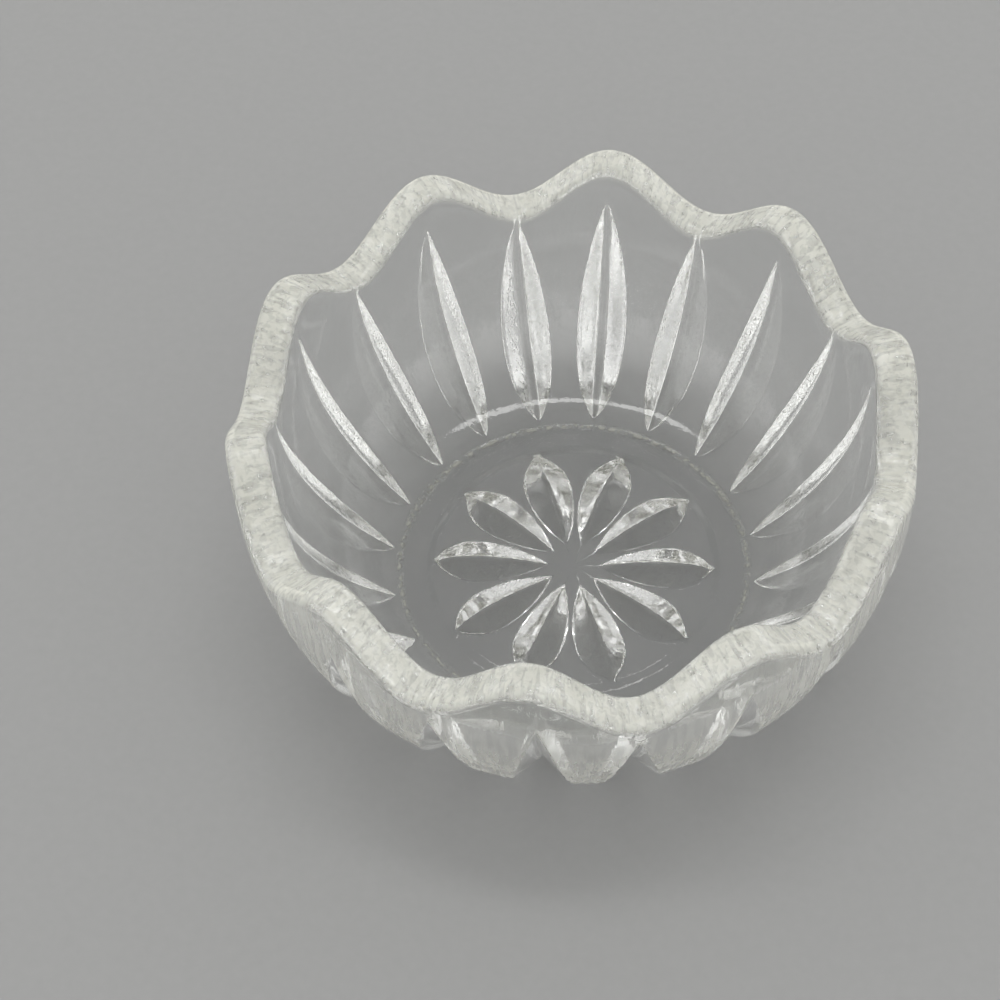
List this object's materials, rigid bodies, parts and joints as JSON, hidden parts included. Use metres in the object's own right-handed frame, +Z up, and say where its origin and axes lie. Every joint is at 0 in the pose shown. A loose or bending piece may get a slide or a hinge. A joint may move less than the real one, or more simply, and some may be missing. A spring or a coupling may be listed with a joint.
{
  "type": "salt cellar",
  "caption": "Open salt cellar: a thick clear cut-glass bowl with a scalloped rim, upright mitre flutes on the wall and a star cut under the base.",
  "frame": {"origin": "middle of the foot ring, on the surface that the bowl stands on", "axes": "+Z up along the bowl's axis, +X through a valley of the rim, +Y through a lobe of the rim"},
  "size_m": [0.066, 0.066, 0.031],
  "materials": {
    "cut_crystal": "clear lead crystal, cut and polished, with a lightly ground rim"
  },
  "bodies": {
    "root": {"bowl": "cut_crystal"}
  },
  "joints": []
}
